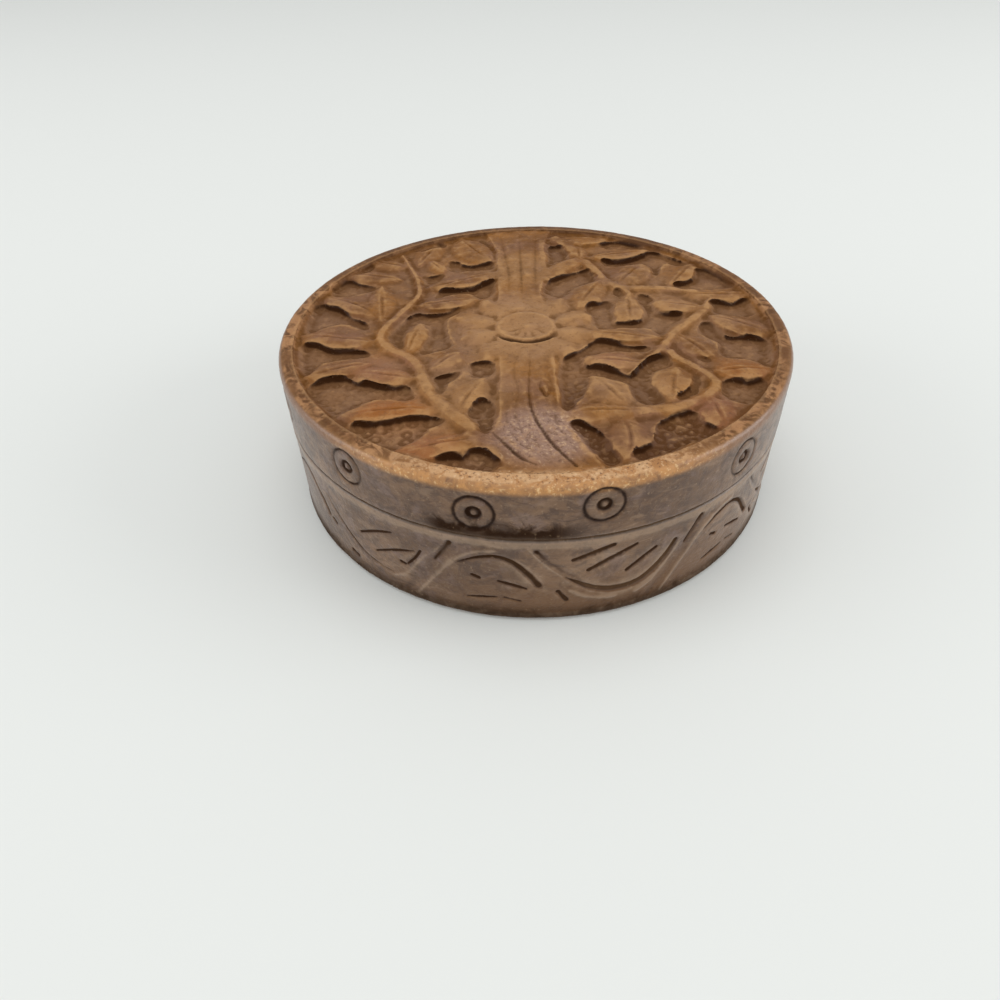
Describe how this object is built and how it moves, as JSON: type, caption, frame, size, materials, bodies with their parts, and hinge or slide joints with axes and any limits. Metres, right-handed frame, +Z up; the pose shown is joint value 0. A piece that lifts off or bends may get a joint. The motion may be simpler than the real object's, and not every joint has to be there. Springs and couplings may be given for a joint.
{
  "type": "soapstone trinket box",
  "caption": "Low round carved soapstone box with a lift-off lid, a tree in relief on the lid and incised waves round the base, for keeping small trinkets.",
  "frame": {"origin": "middle of the box's underside, on the surface that it stands on", "axes": "+Z up through the lid, -Y towards the front, where the carved tree has its roots, +X to the right seen from the front"},
  "size_m": [0.101, 0.101, 0.032],
  "materials": {
    "base_stone": "waxed soapstone, grey-brown, hand rubbed",
    "lid_stone": "waxed soapstone, warm brown, worn tan along the rim"
  },
  "bodies": {
    "base": {"base": "base_stone"},
    "lid": {"lid": "lid_stone"}
  },
  "joints": [
    {"name": "lid_lift", "type": "slide", "parent": "base", "child": "lid", "axis": [0, 0, 1], "range_m": [0, 0.08]}
  ]
}
